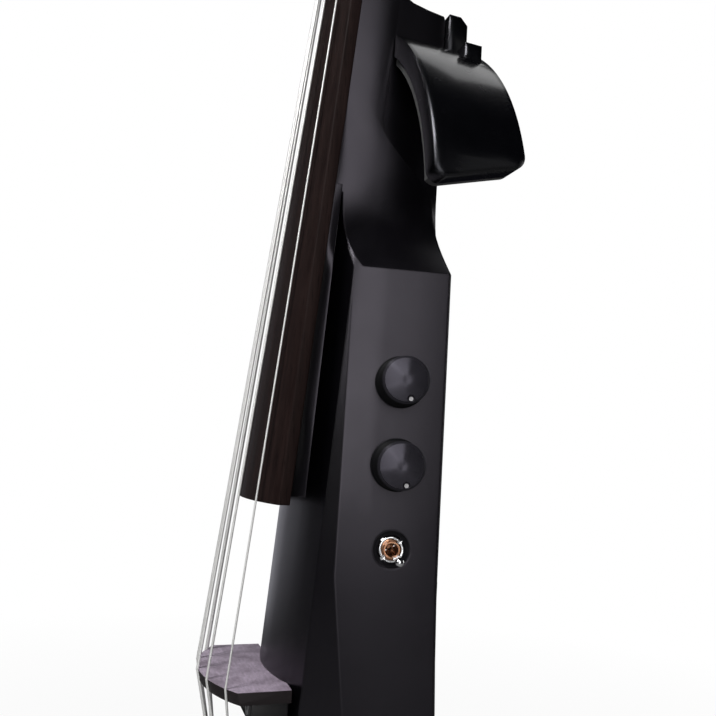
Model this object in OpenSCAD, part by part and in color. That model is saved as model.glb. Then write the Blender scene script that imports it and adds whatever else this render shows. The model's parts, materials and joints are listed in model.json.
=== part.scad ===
// Slim solid-body electric cello with five strings.
// Frame: +X is the treble side, -Y faces the strings, +Z runs up the neck.
// The shapes are drawn from the middle of the bridge crown; place() moves them so that
// the origin lies at the mouth of the stand socket in the middle of the back.

/* [Strings] */
// Nut to bridge, along the middle string
scale_length = 690; // [640:1:710]
// How far the strings lean back from bridge to nut
nut_set_back = 67; // [60:1:74]
// Distance between strings along the bridge crown
bridge_spacing = 13.1; // [11:0.1:14]
// Distance between strings at the nut
nut_spacing = 5.2; // [4.6:0.1:6]
// Radius of the line of strings over the bridge
bridge_crown_r = 49; // [44:1:60]
// Radius of the line of strings over the nut
nut_crown_r = 70; // [55:1:90]
// Thickest string, bass side
string_d_bass = 1.6; // [1.2:0.1:1.8]
// Thinnest string, treble side
string_d_treble = 0.8; // [0.5:0.1:1.1]
// Extra diameter of the silk wrap on the strings' ends
silk = 0.15; // [0.1:0.05:0.3]
// Ball end diameter
ball_d = 5; // [4:0.1:5.5]
// Turns of string on each post
wind_turns = 3; // [2:1:3]

/* [Fingerboard] */
// Bridge to the lower end of the board
board_gap = 66; // [55:1:80]
// Width of the board at its lower end
board_end_width = 66; // [62:0.5:68]
// Width of the board at the nut
board_nut_width = 29; // [28:0.5:32]
// Height of the board's straight side
board_side = 4.4; // [3:0.1:5]
// String height over the lower end of the board
action_end = 5; // [4:0.5:8]
// String height over the board at the nut
action_nut = 1.4; // [1.3:0.1:2]
// How far the support strip stays inside the board's edge
support_inset = 2.2; // [0.5:0.1:4]
// How far the support strip stops short of the board's end
support_short = 3; // [0:0.5:10]

/* [Body] */
// Distance from the bridge down to the bottom of the body
body_below = 205; // [190:1:230]
// Bridge crown to the body's front, along the middle
bridge_height = 25.7; // [22:0.1:30]
// Radius of the crowned front
front_r = 60; // [52:1:80]
// Lean of the front, in degrees
front_lean = 3.48; // [2:0.02:4.5]
// Half width of the front, from the middle to its corner
front_half = 30; // [28:0.5:31]
// Sideways lean of the side panels, in degrees
panel_tilt = 13; // [9:0.5:15]
// Half width at the panel's front edge
panel_half = 31; // [30:0.5:33]
// Panel's front edge, behind the bridge crown
panel_front = 43.3; // [42:0.1:46]
// Panel's back edge, behind the bridge crown
panel_back = 82.5; // [80:0.5:88]
// Top edge of the side panels, above the bridge
panel_top = 160; // [155:1:164]
// Depth of the scoop above the panels
scoop_depth = 12.3; // [9:0.1:14]
// Height of the scoop
scoop_height = 37; // [33:1:38]
// Crown of the back, behind the panels' back edges
back_crown = 8; // [5:0.5:12]
// Back of the heel, behind the bridge crown
heel_back = 90; // [88:0.5:92]
// Top of the heel, above the bridge
heel_top = 302; // [300:1:306]

/* [Neck and head] */
// Depth of the neck behind the board's glue face
neck_depth = 24; // [20:0.5:26]
// Angle of the head behind the board, in degrees
head_angle = 12; // [8:0.5:15]
// Thickness of the head
head_thick = 18; // [15:0.5:20]
// Width of the head
head_width = 46; // [44:0.5:52]
// Length of the head above the nut
head_length = 168; // [160:1:180]
// Distance from the nut to the first post
first_post = 34; // [30:0.5:40]
// Distance between posts on one side
post_pitch = 40; // [38:0.5:42]
// Thickness of the nut
nut_thick = 6; // [5:0.5:8]

/* [Machines] */
// Diameter of the string posts
post_d = 8; // [7:0.1:9]
// Diameter of the button shafts
shaft_d = 5; // [4:0.1:6]
// Running clearance round posts, shafts and other moving pins, on the radius
run_gap = 0.05; // [0.03:0.01:0.09]
// Height of the gear housings
housing_high = 11; // [10:0.5:13]
// Length of the buttons along their shaft
button_len = 17; // [14:0.5:20]
// Height of the buttons
button_high = 20; // [16:0.5:22]

/* [Bridge and tail] */
// Thickness of the bridge plate
bridge_thick = 4.4; // [3.5:0.1:6]
// Half width of the bridge plate
bridge_half = 30; // [29:0.5:31]
// Middle of the tail anchor, below the bridge
tail_below = 88; // [80:1:100]
// Length of the tail anchor
tail_len = 22; // [18:0.5:26]
// Distance between strings at the tail anchor
tail_spacing = 11.4; // [10:0.1:12]
// Depth of the strings at the anchor, behind the bridge crown
tail_depth = 19; // [17:0.1:20]

/* [Wing] */
// Width of the wing from front to back
wing_width = 40; // [34:0.5:44]
// Thickness of the wing
wing_thick = 8.5; // [7:0.5:10]
// Radius of the wing's outer face
wing_r = 122; // [112:1:132]
// Front edge of the wing, behind the bridge crown
wing_front = 62.5; // [60:0.5:66]
// Thickness of the soft liner inside the wing
liner_thick = 3; // [2:0.5:4]
// Thickness of the bracket behind the heel
bracket_thick = 9.5; // [8:0.5:12]

/* [Controls] */
// Distance of the controls from the panel's front edge
control_in = 21; // [19:0.5:22]
// Height of the lower control, the switch, above the bridge
switch_up = 51; // [48:0.5:54]
// Distance between controls
control_pitch = 32; // [28:0.5:34]
// Base diameter of the knobs
knob_d = 20.3; // [18:0.1:22]
// Top diameter of the knobs
knob_top_d = 17.8; // [16:0.1:18]
// Height of the knobs
knob_high = 13; // [10:0.5:15]
// Diameter of the knob's position dot
dot_d = 1.6; // [1.2:0.1:2]
// Diameter of the recess round the switch
switch_recess_d = 14; // [13:0.1:15]
// Depth of the recess round the switch
switch_recess = 2.5; // [1.5:0.1:4]
// Outer diameter of the switch's dress nut
switch_nut_d = 10.8; // [9:0.1:12]
// Diameter of the switch bushing
switch_bush_d = 6.35; // [5.5:0.01:6.5]
// Lean of the switch lever either way, in degrees
lever_lean = 13; // [10:0.5:14]
// Diameter of the pot bushings
pot_bush_d = 7; // [6:0.1:8]

/* [Sockets and endpin] */
// Diameter of the jack's plug bore
jack_bore_d = 6.5; // [6.4:0.05:6.6]
// Diameter of the bore in the stand plate
stand_bore_d = 8; // [6:0.1:10]
// Depth of the bore in the stand plate
stand_bore_deep = 14; // [10:0.5:16]
// Height of the stand socket above the bridge
stand_up = 20; // [10:1:40]
// Diameter of the endpin rod
endpin_d = 10; // [8:0.1:12]
// Length of the endpin rod
endpin_len = 260; // [230:1:300]
// Length of rod shown below the collar
endpin_out = 60; // [50:1:90]

/* [Hidden] */

$fn = 48;
seat = 0.02;
fit = 0.1;
back_center = panel_back + back_crown;

module place() translate([0, -stand_y, -stand_up]) children();

// ---- strings ----
nut_z = sqrt(scale_length * scale_length - nut_set_back * nut_set_back);
function deg(len, r) = len / r * 180 / PI;
function lerp(a, b, t) = a + (b - a) * t;
function clamp01(t) = min(1, max(0, t));
function smooth(t) = let(u = clamp01(t)) u * u * (3 - 2 * u);
function string_d(i) = lerp(string_d_bass, string_d_treble, (i - 1) / 4);
function crown(i, gap, r) = let(a = deg((i - 3) * gap, r)) [r * sin(a), r * (1 - cos(a))];
function at_bridge(i) = let(c = crown(i, bridge_spacing, bridge_crown_r)) [c[0], c[1], 0];
function at_nut(i) = let(c = crown(i, nut_spacing, nut_crown_r))
  [c[0], nut_set_back + c[1], nut_z];
function at_tail(i) = [(i - 3) * tail_spacing, tail_depth, -tail_below + tail_len / 2];
function unit(v) = v / norm(v);
function tail_dir(i) = unit(at_tail(i) - at_bridge(i));
ball_in = tail_len - ball_d - 1;
function at_ball(i) = at_tail(i) + tail_dir(i) * ball_in;

// ---- board planes, as depth behind the bridge crown ----
board_lo = board_gap;
board_hi = nut_z;
function along(z) = (z - board_lo) / (board_hi - board_lo);
slope = nut_set_back / nut_z;
top_lo = board_lo * slope + action_end;
top_hi = nut_set_back + action_nut;
side_r = 74;
function board_half(z) = lerp(board_end_width, board_nut_width, along(z)) / 2;
function board_top(z) = lerp(top_lo, top_hi, along(z));
function board_sag(z) = side_r - sqrt(side_r * side_r - pow(board_half(z), 2));
function board_edge(z) = board_top(z) + board_sag(z);
glue_lo = board_edge(board_lo) + board_side;
glue_hi = board_edge(board_hi) + board_side;
function glue(z) = lerp(glue_lo, glue_hi, along(z));

// ---- body sections ----
function front(z) = bridge_height + z * tan(front_lean);
function taper(z) = z < 60 ? pow(60 - z, 2) / 5320 : 0;
function scoop(z) = scoop_depth * sin(90 * clamp01((z - panel_top) / scoop_height));
function back_edge(z) = panel_back + 6 * smooth((50 - z) / 160);
function corner_half(z) = front_half - scoop(z) - max(0, taper(z) - 0.95);
edge_flare = 3.2;
scoop_edge = 40.2;
function flare(z) = edge_flare * pow(clamp01((z - panel_top + 65) / 65), 2);
function panel_edge(z) = z > panel_top
  ? scoop_edge + (panel_front + edge_flare - scoop_edge) * pow(1 - scoop_t(z), 2.5)
  : panel_front + min(taper(z), 0.95) / 0.1435 + flare(z);
function scoop_t(z) = scoop(z) / scoop_depth;
function panel_x(y, z) = panel_half + (y - panel_front) * tan(panel_tilt) * (1 - scoop_t(z))
  - taper(z) - scoop(z);
waist_c = 60;
end_round = 14;
function end_in(z) = let(d = z + body_below)
  d >= end_round ? 0 : end_round - sqrt(max(0, end_round * end_round - pow(end_round - d, 2)));
function end_scale(z) = 1 - end_in(z) / 30;
FRONT_STEPS = 5;
edge_r = 3;

// half of a section of the body, from the middle of the front round to the middle of the back
function body_half(z) =
  let(
    c = corner_half(z), e = panel_edge(z), b = back_edge(z), bx = panel_x(b, z),
    bc = b + back_crown
  )
  concat(
    [for (k = [0:FRONT_STEPS]) let(x = c * k / FRONT_STEPS)
      [x, front(z) + front_r - sqrt(front_r * front_r - x * x)]],
    [for (k = [0:3]) let(y = lerp(e, b - edge_r, k / 3)) [panel_x(y, z), y]],
    [for (a = [30, 60, 90]) [bx - edge_r + edge_r * cos(a), b - edge_r + edge_r * sin(a)]],
    [for (k = [1:4]) let(t = k / 4)
      [(bx - edge_r) * (1 - t), b + back_crown * sin(90 * t)]]
  );

// half of a section of the neck and its heel, with the same count of points: the neck's round
// back as [depth, half width], then the narrow heel behind it
BACK = [[0.04, 0.99], [0.2, 0.96], [0.38, 0.89], [0.55, 0.78], [0.71, 0.62], [0.84, 0.44],
  [0.94, 0.33]];
HEEL = [[0.15, 0.29], [0.92, 0.25], [1, 0.15], [1, 0]];
function neck_back(z) = z <= heel_top - 9 ? heel_back
  : glue(z) + neck_depth + (heel_back - glue(z) - neck_depth)
    * pow(1 - clamp01((z - heel_top + 9) / 9), 4);
function neck_half(z) =
  let(w = board_half(z) - 0.3, d = neck_back(z) - glue(z))
  concat(
    [for (k = [0:FRONT_STEPS]) [w * k / FRONT_STEPS, glue(z)]],
    [for (p = BACK) [w * p[1], glue(z) + neck_depth * p[0]]],
    [for (p = HEEL) [w * p[1], glue(z) + neck_depth + (d - neck_depth) * p[0]]]
  );

step_z = panel_top + 34;
function full_half(z) =
  let(
    a = body_half(z), b = neck_half(z), m = smooth((z - step_z) / 40),
    mf = clamp01((z - step_z) / 0.5), s = end_scale(z)
  )
  z <= step_z
  ? [for (p = a) [p[0] * s, waist_c + (p[1] - waist_c) * s]]
  : [for (k = [0:len(a) - 1]) let(n = k <= FRONT_STEPS ? mf : m)
      [lerp(a[k][0], b[k][0], max(m, k <= FRONT_STEPS ? m : 0)), lerp(a[k][1], b[k][1], n)]];
function ring(half, z) =
  let(n = len(half))
  concat(
    [for (k = [0:n - 1]) [half[k][0], half[k][1], z]],
    [for (k = [n - 2:-1:1]) [-half[k][0], half[k][1], z]]
  );

// skin over a list of rings that all have the same count of points
module skin(rings) {
  n = len(rings[0]);
  m = len(rings);
  mid0 = [for (c = [0:2]) (min([for (p = rings[0]) p[c]]) + max([for (p = rings[0]) p[c]])) / 2];
  mid1 = [for (c = [0:2]) (min([for (p = rings[m - 1]) p[c]])
    + max([for (p = rings[m - 1]) p[c]])) / 2];
  pts = concat([for (r = rings) for (p = r) p], [mid0, mid1]);
  sides = [for (j = [0:m - 2]) for (k = [0:n - 1])
    let(a = j * n + k, b = j * n + (k + 1) % n, c = a + n, d = b + n)
    each [[a, c, b], [b, c, d]]];
  ends = [for (k = [0:n - 1]) let(e = (k + 1) % n)
    each [[m * n, k, e], [m * n + 1, (m - 1) * n + e, (m - 1) * n + k]]];
  polyhedron(points = pts, faces = concat(sides, ends), convexity = 8);
}

BODY_Z = concat(
  [for (d = [0, 1.2, 4, 8.5, end_round]) -body_below + d],
  [-150, -110, -70, -40, -15, 10, 35, 60],
  [for (k = [0:7]) panel_top + (step_z - panel_top) * k / 7],
  [for (d = [0.5, 5, 10, 15, 20, 25, 30, 35, 40]) step_z + d],
  [for (d = [9, 8, 6.5, 4.5, 0]) heel_top - d]
);

// ---- panel frame: +Z out of the treble panel, at a distance in from its front edge ----
module on_panel(z) translate([panel_half, panel_front, z])
  rotate([0, 0, -panel_tilt]) translate([0, control_in, 0]) rotate([0, 90, 0]) children();
tone_up = switch_up + control_pitch;
volume_up = switch_up + 2 * control_pitch;
pot_deep = 15;
pot_body_d = 16.5;
wall = 4;
knob_lift = 0.5;
shaft_pot_d = 6;

// ---- stand socket and bottom end ----
plate_thick = 3;
stand_y = back_center + 6 * smooth((50 - stand_up) / 160) + plate_thick;
stand_half = 15;
endpin_y = 56;
collar_d = 26;
collar_high = 12;
collar_sink = 10;
rod_top = -body_below - collar_high - endpin_out + endpin_len;

module seg(p, q, d) {
  v = q - p;
  l = norm(v);
  b = acos(v[2] / l);
  c = atan2(v[1], v[0]);
  translate(p) rotate([0, b, c]) cylinder(d = d, h = l, $fn = 24);
}

// ---- head frame: origin on the head's face at the nut, +Z up the head, -Y to the front ----
board_lean = atan((glue_hi - glue_lo) / (board_hi - board_lo));
head_lean = board_lean + head_angle;
head_at = [0, glue_hi - board_side + 1, nut_z + nut_thick];
function to_head(p) = head_at + [p[0], p[1] * cos(head_lean) + p[2] * sin(head_lean),
  -p[1] * sin(head_lean) + p[2] * cos(head_lean)];
module in_head() translate(head_at) rotate([-head_lean, 0, 0]) children();

post_in = 9;
// posts 1 to 3 stand on the bass side, 4 and 5 on the treble side
function post_side(i) = i <= 3 ? -1 : 1;
function post_z(i) = i <= 3 ? first_post + (i - 1) * post_pitch
  : first_post + 12 + (5 - i) * post_pitch;
function post_x(i) = post_side(i) * (head_width / 2 - post_in - (i == 2 ? 2 : 0)
  - (i == 3 ? 4 : 0) - (i == 4 ? 2 : 0));
wind_gap = 0.5;
collar_thick = 1.4;
wind_y = -(collar_thick + 0.6 + wind_turns * (string_d_bass + wind_gap) + string_d_bass / 2);
post_out = -wind_y + string_d_bass / 2 + 1.8;
function wind_pitch(i) = string_d(i) + wind_gap;
function wind_r(i) = post_d / 2 + string_d(i) / 2 + run_gap + 0.02;
function wind_from(i) = post_side(i) < 0 ? 0 : 180;
function wind_way(i) = -post_side(i);
function wind_at(i, t) = let(a = wind_from(i) + wind_way(i) * 360 * t)
  [post_x(i) + wind_r(i) * cos(a), wind_y + wind_pitch(i) * t, post_z(i) + wind_r(i) * sin(a)];
STEPS = 24;
function wind_self(i) = min([for (k = [0:STEPS * (wind_turns - 1)])
  norm(wind_at(i, (k + STEPS) / STEPS) - wind_at(i, k / STEPS)) - string_d(i)]);
echo("least gap of each winding to itself", [for (i = [1:5]) wind_self(i)]);

module winding(i) {
  n = STEPS * wind_turns;
  r = string_d(i) / 2;
  skin([for (k = [0:n])
    let(p = wind_at(i, k / STEPS), a = wind_from(i) + wind_way(i) * 360 * k / STEPS)
    [for (j = [0:5]) let(b = 60 * j * wind_way(i))
      p + [r * cos(b) * cos(a), r * sin(b), r * cos(b) * sin(a)]]]);
}

module string_shape(i, extra = 0) {
  d = string_d(i) + extra;
  touch = to_head(wind_at(i, 0));
  q = at_nut(i);
  stop = touch + unit(touch - q) * 0.3;
  v = unit(q - at_bridge(i)) * d * 0.12;
  seg(at_bridge(i) - v, q + v, d);
  seg(at_bridge(i), at_ball(i), d + silk);
  seg(q, stop, d + silk);
  if (extra == 0) in_head() winding(i);
}
// the stretch behind the bridge, for its notches
module tail_notch(i, extra) {
  v = at_ball(i) - at_bridge(i);
  seg(at_bridge(i) - v * 0.1, at_ball(i), string_d(i) + silk + extra);
}

module screw_row(places, d, h) for (p = places) translate(p) cylinder(d = d, h = h);

// ---- body ----
module body_bores() {
  for (z = [tone_up, volume_up]) on_panel(z) {
    translate([0, 0, -wall - 2]) cylinder(d = pot_bush_d + 2 * run_gap, h = wall + 12);
    translate([0, 0, -wall - pot_deep]) cylinder(d = pot_body_d + 1, h = pot_deep);
  }
  on_panel(switch_up) {
    translate([0, 0, -switch_recess]) cylinder(d = switch_recess_d, h = 20);
    translate([0, 0, -switch_recess - 24]) cylinder(d = switch_bush_d + fit, h = 30);
    translate([0, 0, -switch_recess - 3 - 17]) cylinder(d = 14.5, h = 17);
  }
  // endpin tube and collar seat
  translate([0, endpin_y, -body_below - 5]) cylinder(d = endpin_d + 2 * run_gap, h = 260);
  translate([0, endpin_y, -body_below - 5]) cylinder(d = collar_d - 6 + fit, h = 5 + collar_sink);
  // output jack
  jack_hole();
  // flat seats for the tail anchor, the bridge base and the stand plate
  tail_seat();
  base_seat();
  translate([-stand_half - fit / 2, stand_y - plate_thick - 6, stand_up - stand_half - fit / 2])
    cube([2 * stand_half + fit, 40, 2 * stand_half + fit]);
  translate([0, stand_y + 1, stand_up]) rotate([90, 0, 0]) cylinder(d = 16 + fit, h = 30);
  for (p = stand_places()) translate(p) rotate([90, 0, 0]) cylinder(d = 3, h = 20);
  for (p = tail_places()) translate([p[0], tail_floor - 1, p[1]]) rotate([-90, 0, 0])
    cylinder(d = 3, h = 12);
  for (x = [-20, 20]) translate([x, base_floor - 1, base_mid]) rotate([-90, 0, 0])
    cylinder(d = 3, h = 12);
  cover_seat();
  for (p = cover_places()) translate(p) rotate([90, 0, 0]) cylinder(d = 2.4, h = 12);
  for (p = bout_places()) translate([p[0], heel_back - 12, p[1]]) rotate([-90, 0, 0])
    cylinder(d = 4, h = 20);
}

module body() color([0.08, 0.08, 0.09]) place() difference() {
  skin([for (z = BODY_Z) ring(full_half(z), z)]);
  body_bores();
}

// ---- neck and head ----
NECK_Z = concat([for (d = [0, 14, 28]) heel_top + d],
  [for (k = [1:5]) lerp(heel_top + 28, nut_z - 14, k / 5)], [nut_z, nut_z + nut_thick]);
module head_outline() {
  w = head_width / 2;
  n = board_nut_width / 2;
  round_end = [for (s = [1, -1]) for (k = [0:6]) let(a = s > 0 ? 15 * k : 90 + 15 * k)
    [s * (w - 14) + 14 * cos(a), head_length - 14 + 14 * sin(a)]];
  base = -0.75 * nut_thick;
  polygon(concat([[3 - n, base], [n - 3, base], [n + 1.5, 5], [w, 24]], round_end,
    [[-w, 24], [-n - 1.5, 5]]));
}
nut_floor = head_at[1];
module neck() color([0.08, 0.08, 0.09]) place() difference() {
  union() {
    skin([for (z = NECK_Z) ring(neck_half(z), z)]);
    in_head() translate([0, head_thick, 0]) rotate([90, 0, 0])
      linear_extrude(height = head_thick) head_outline();
  }
  // seat for the nut
  translate([-40, 0, nut_z]) cube([80, nut_floor, 40]);
  in_head() translate([-40, -60, 0]) cube([80, 60, 60]);
  in_head() for (i = [1:5]) {
    translate([post_x(i), -10, post_z(i)]) rotate([-90, 0, 0])
      cylinder(d = post_d + 2 * run_gap, h = head_thick + 20);
    for (p = housing_screws(i)) translate([post_x(i) + p[0], head_thick - 8, post_z(i) + p[1]])
      rotate([-90, 0, 0]) cylinder(d = 2, h = 20);
  }
}

// ---- fingerboard ----
ARC = 8;
function board_ring(z) =
  let(w = board_half(z), a = asin(w / side_r), c = board_top(z) + side_r)
  concat(
    [for (k = [0:2 * ARC]) let(b = lerp(-a, a, k / (2 * ARC))) [side_r * sin(b),
      c - side_r * cos(b), z]],
    [[w, glue(z) - seat, z], [-w, glue(z) - seat, z]]
  );
module fingerboard() color([0.17, 0.12, 0.11]) place()
  skin([for (k = [0:8]) board_ring(lerp(board_lo, board_hi, k / 8))]);

module board_support() color([0.07, 0.07, 0.08]) place()
  skin([for (k = [0:4]) let(z = lerp(board_lo + support_short, step_z, k / 4),
      w = board_half(z) - support_inset)
    [[-w, glue(z), z], [w, glue(z), z], [w, front(z) - seat, z],
     [-w, front(z) - seat, z]]]);

function from_head(p) = let(d = p - head_at)
  [d[0], d[1] * cos(head_lean) - d[2] * sin(head_lean),
   d[1] * sin(head_lean) + d[2] * cos(head_lean)];
function nut_cross(i) = let(a = from_head(at_nut(i)), b = wind_at(i, 0))
  lerp(a, b, (-nut_thick / 2 - a[2]) / (b[2] - a[2]));
module nut() color([0.1, 0.1, 0.1]) place() intersection() {
  in_head() translate([0, 0, -2 * nut_thick]) linear_extrude(height = 2 * nut_thick - seat)
    difference() {
      translate([0, nut_cross(3)[1] + nut_crown_r]) circle(r = nut_crown_r, $fn = 128);
      for (i = [1:5]) translate([nut_cross(i)[0], nut_cross(i)[1]])
        circle(d = string_d(i) + silk + 1.2);
    }
  translate([-board_nut_width / 2, 0, nut_z + seat])
    cube([board_nut_width, nut_floor - seat, 40]);
}

// ---- bridge ----
bridge_fall = tail_dir(3)[1] / -tail_dir(3)[2];
base_high = 8;
base_half = 27;
base_mid = -bridge_thick - base_high / 2;
base_floor = front(base_mid) + 5;
foot_y = base_floor;

module base_seat() translate([-bridge_half - fit, 0, -bridge_thick - base_high - fit])
  cube([2 * bridge_half + 2 * fit, base_floor + seat, bridge_thick + base_high + 2 * fit]);
module bridge() color([0.4, 0.33, 0.38]) place() difference() {
  translate([0, bridge_crown_r, -bridge_thick])
    cylinder(r1 = bridge_crown_r - bridge_thick * bridge_fall, r2 = bridge_crown_r,
      h = bridge_thick, $fn = 128);
  translate([-100, foot_y, -50]) cube([200, 200, 100]);
  for (s = [-1, 1]) translate([s * (bridge_half + 50), 0, 0]) cube([100, 400, 100],
    center = true);
  for (i = [1:5]) tail_notch(i, fit);
}
module bridge_base() color([0.1, 0.1, 0.1]) place() difference() {
  translate([-base_half, base_floor - 14, -bridge_thick - base_high])
    cube([2 * base_half, 14, base_high - seat]);
  for (x = [-20, 20]) translate([x, base_floor - 20, base_mid]) rotate([-90, 0, 0]) {
    cylinder(d = 3 + fit, h = 30);
    cylinder(d = 6, h = 8.5);
  }
}
module bridge_screws() color([0.6, 0.6, 0.62]) place()
  for (x = [-20, 20]) translate([x, base_floor - 14, base_mid]) rotate([-90, 0, 0])
    cap_screw(3, 5.6, 2.5, 22);

// a socket-head screw with its head's top at the origin, pointing along +Z
module cap_screw(d, head, head_h, len) difference() {
  union() {
    cylinder(d = head, h = head_h);
    cylinder(d = d - fit, h = len);
  }
  translate([0, 0, -1]) cylinder(d = head * 0.5, h = 1 + head_h * 0.6, $fn = 6);
}

// ---- strings and tail ----
module string_1() color([0.8, 0.8, 0.82]) place() string_shape(1);
module string_2() color([0.8, 0.8, 0.82]) place() string_shape(2);
module string_3() color([0.8, 0.8, 0.82]) place() string_shape(3);
module string_4() color([0.8, 0.8, 0.82]) place() string_shape(4);
module string_5() color([0.8, 0.8, 0.82]) place() string_shape(5);

module along_tail(i) {
  v = tail_dir(i);
  translate(at_ball(i)) rotate([0, acos(v[2]), atan2(v[1], v[0])]) children();
}
module string_balls() color([0.75, 0.65, 0.4]) place() for (i = [1:5]) along_tail(i)
  cylinder(d = ball_d, h = ball_d);

tail_half = 30;
tail_floor = front(-tail_below) + 8;
tail_high = tail_floor - tail_depth + 4.5;
function tail_places() = [for (x = [-17, -5.7, 5.7, 17]) if (abs(x) > 10) [x, -tail_below]];
module tail_seat() translate([-tail_half - fit, tail_floor - 40, -tail_below - tail_len / 2
  - fit]) cube([2 * tail_half + 2 * fit, 40, tail_len + 2 * fit]);
module tail_anchor() color([0.1, 0.1, 0.1]) place() difference() {
  translate([-tail_half, tail_floor - tail_high, -tail_below - tail_len / 2])
    cube([2 * tail_half, tail_high - seat, tail_len]);
  for (i = [1:5]) {
    tail_notch(i, 0.8);
    along_tail(i) translate([0, 0, -seat]) cylinder(d = ball_d + 0.3, h = 30);
  }
  // sloped front edge over the string holes
  translate([0, tail_floor - tail_high, -tail_below + tail_len / 2]) rotate([45, 0, 0])
    cube([100, 3, 3], center = true);
  for (p = tail_places()) translate([p[0], 0, p[1]]) rotate([-90, 0, 0])
    cylinder(d = 3 + fit, h = 60);
  for (p = tail_places()) translate([p[0], tail_floor - tail_high - 1, p[1]])
    rotate([-90, 0, 0]) cylinder(d = 5.8, h = 3.6);
}
module tail_screws() color([0.6, 0.6, 0.62]) place() for (p = tail_places())
  translate([p[0], tail_floor - tail_high + 0.1, p[1]]) rotate([-90, 0, 0])
    cap_screw(3, 5.6, 2.5, 16);

// ---- wing, liner and bracket ----
wing_low = [60, 197];
wing_high = [11, 274.5];
wing_chord = norm(wing_high - wing_low);
wing_mid = (wing_low + wing_high) / 2;
wing_in = unit([-(wing_high[1] - wing_low[1]), wing_high[0] - wing_low[0]]);
wing_c = wing_mid + wing_in * sqrt(wing_r * wing_r - wing_chord * wing_chord / 4);
module arc_band(r, t) difference() {
  translate(wing_c) circle(r = r, $fn = 180);
  translate(wing_c) circle(r = r - t, $fn = 180);
}
// XZ shapes drawn flat and stood up: thickness runs along +Y
module stand_up_y(y, h) translate([0, y + h, 0]) rotate([90, 0, 0])
  linear_extrude(height = h) children();
module wing_limits() {
  polygon([[wing_high[0], 252], [wing_high[0], 300], [120, 300], [120, wing_low[1] - 12],
    [30, wing_low[1] - 12], [30, 240]]);
}
// the wing's lower edge rises towards the back, between two round corners
wing_rise = 0.3;
wing_bottom = wing_low[1] - 7.5;
front_round = 4.5;
rear_round = 8;
module wing_corners() rotate([0, 90, 0]) translate([0, 0, -20]) linear_extrude(height = 160) {
  k = sqrt(1 + wing_rise * wing_rise);
  up = [-1 / k, -wing_rise / k];
  y0 = wing_front;
  y1 = wing_front + wing_width;
  a = [-wing_bottom - wing_rise * front_round - k * front_round, y0 + front_round];
  b = [-wing_bottom - wing_rise * (wing_width - rear_round) - k * rear_round, y1 - rear_round];
  polygon([[-400, y0], [a[0], y0], a - up * front_round, b - up * rear_round, [b[0], y1],
    [-400, y1]]);
  translate(a) circle(r = front_round);
  translate(b) circle(r = rear_round);
}
root_y = heel_back + 0.3;
bracket_half = 8;
module bout_wing() color([0.05, 0.05, 0.06]) place() difference() {
  union() {
    intersection() {
      stand_up_y(wing_front, wing_width) intersection() {
        arc_band(wing_r, wing_thick);
        wing_limits();
      }
      wing_corners();
    }
    // root tongue that passes behind the heel
    translate([-bracket_half, root_y, 250]) cube([bracket_half + 26, 8, 20]);
    stand_up_y(root_y, wing_front + wing_width - root_y) intersection() {
      arc_band(wing_r, wing_thick);
      translate([wing_high[0], 230]) square([40, 60]);
    }
  }
  for (p = bout_places()) translate([p[0], root_y - 1, p[1]]) rotate([-90, 0, 0])
    cylinder(d = 4 + fit, h = 20);
}
module bout_liner() color([0.25, 0.25, 0.26]) place() intersection() {
  stand_up_y(wing_front + 1, wing_width - 2) intersection() {
    translate([0, 0]) arc_band(wing_r - wing_thick - seat, liner_thick);
    translate([wing_high[0] + 0.5, wing_low[1] - 8]) square([80, 80]);
  }
  wing_corners();
  union() {
    translate([28, 0, 150]) cube([60, 150, 150]);
    translate([0, 0, 150]) cube([60, root_y - 0.5, 150]);
  }
}
function bout_places() = [[0, 254.5], [0, 265.5]];
module bout_bracket() color([0.05, 0.05, 0.06]) place() difference() {
  union() {
    translate([-bracket_half, root_y, 270 + seat])
      cube([2 * bracket_half, bracket_thick, heel_top - 8 - 270]);
    translate([-bracket_half, root_y + 8 + seat, 250])
      cube([2 * bracket_half, bracket_thick - 8, 30]);
  }
  for (p = bout_places()) translate([p[0], root_y, p[1]]) rotate([-90, 0, 0])
    cylinder(d = 4 + fit, h = 20);
  translate([0, root_y + bracket_thick, heel_top - 8]) rotate([45, 0, 0])
    cube([60, 5, 5], center = true);
}
module bout_screws() color([0.6, 0.6, 0.62]) place() for (p = bout_places())
  translate([p[0], root_y + bracket_thick + 2 * seat + 2.63, p[1]]) rotate([90, 0, 0])
    cap_screw(4, 7, 2.6, 22);

// ---- controls ----
module pot(z) place() on_panel(z) {
  difference() {
    union() {
      translate([0, 0, -wall - pot_deep + 3]) cylinder(d = pot_body_d, h = pot_deep - 3 - seat);
      translate([0, 0, -wall - 1]) cylinder(d = pot_bush_d, h = wall + 1.2);
    }
    translate([0, 0, -wall - 8]) cylinder(d = shaft_pot_d + 2 * run_gap, h = 40);
  }
}
module volume_pot() color([0.6, 0.6, 0.55]) pot(volume_up);
module tone_pot() color([0.6, 0.6, 0.55]) pot(tone_up);
dot_r = 7.4;
dot_turn = 196;
module knob(z) place() on_panel(z) translate([0, 0, knob_lift]) {
  difference() {
    union() {
      rotate_extrude($fn = 96) polygon([[0, 0.6], [3.4, 0.6], [3.4, 0], [knob_d / 2, 0],
        [knob_d / 2, 1.2], [knob_d / 2 - 0.5, 2], [knob_top_d / 2 + 0.2, knob_high - 1.4],
        [knob_top_d / 2 - 0.7, knob_high - 0.5], [2, knob_high + 0.1], [0, knob_high]]);
      translate([0, 0, -knob_lift - wall - 6]) cylinder(d = shaft_pot_d, h = wall + 8);
    }
    dot_place() translate([0, 0, -0.7]) cylinder(d = dot_d, h = 3);
    dot_place() translate([0, 0, 1.2]) sphere(d = dot_d * 2.2, $fn = 32);
  }
}
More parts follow.
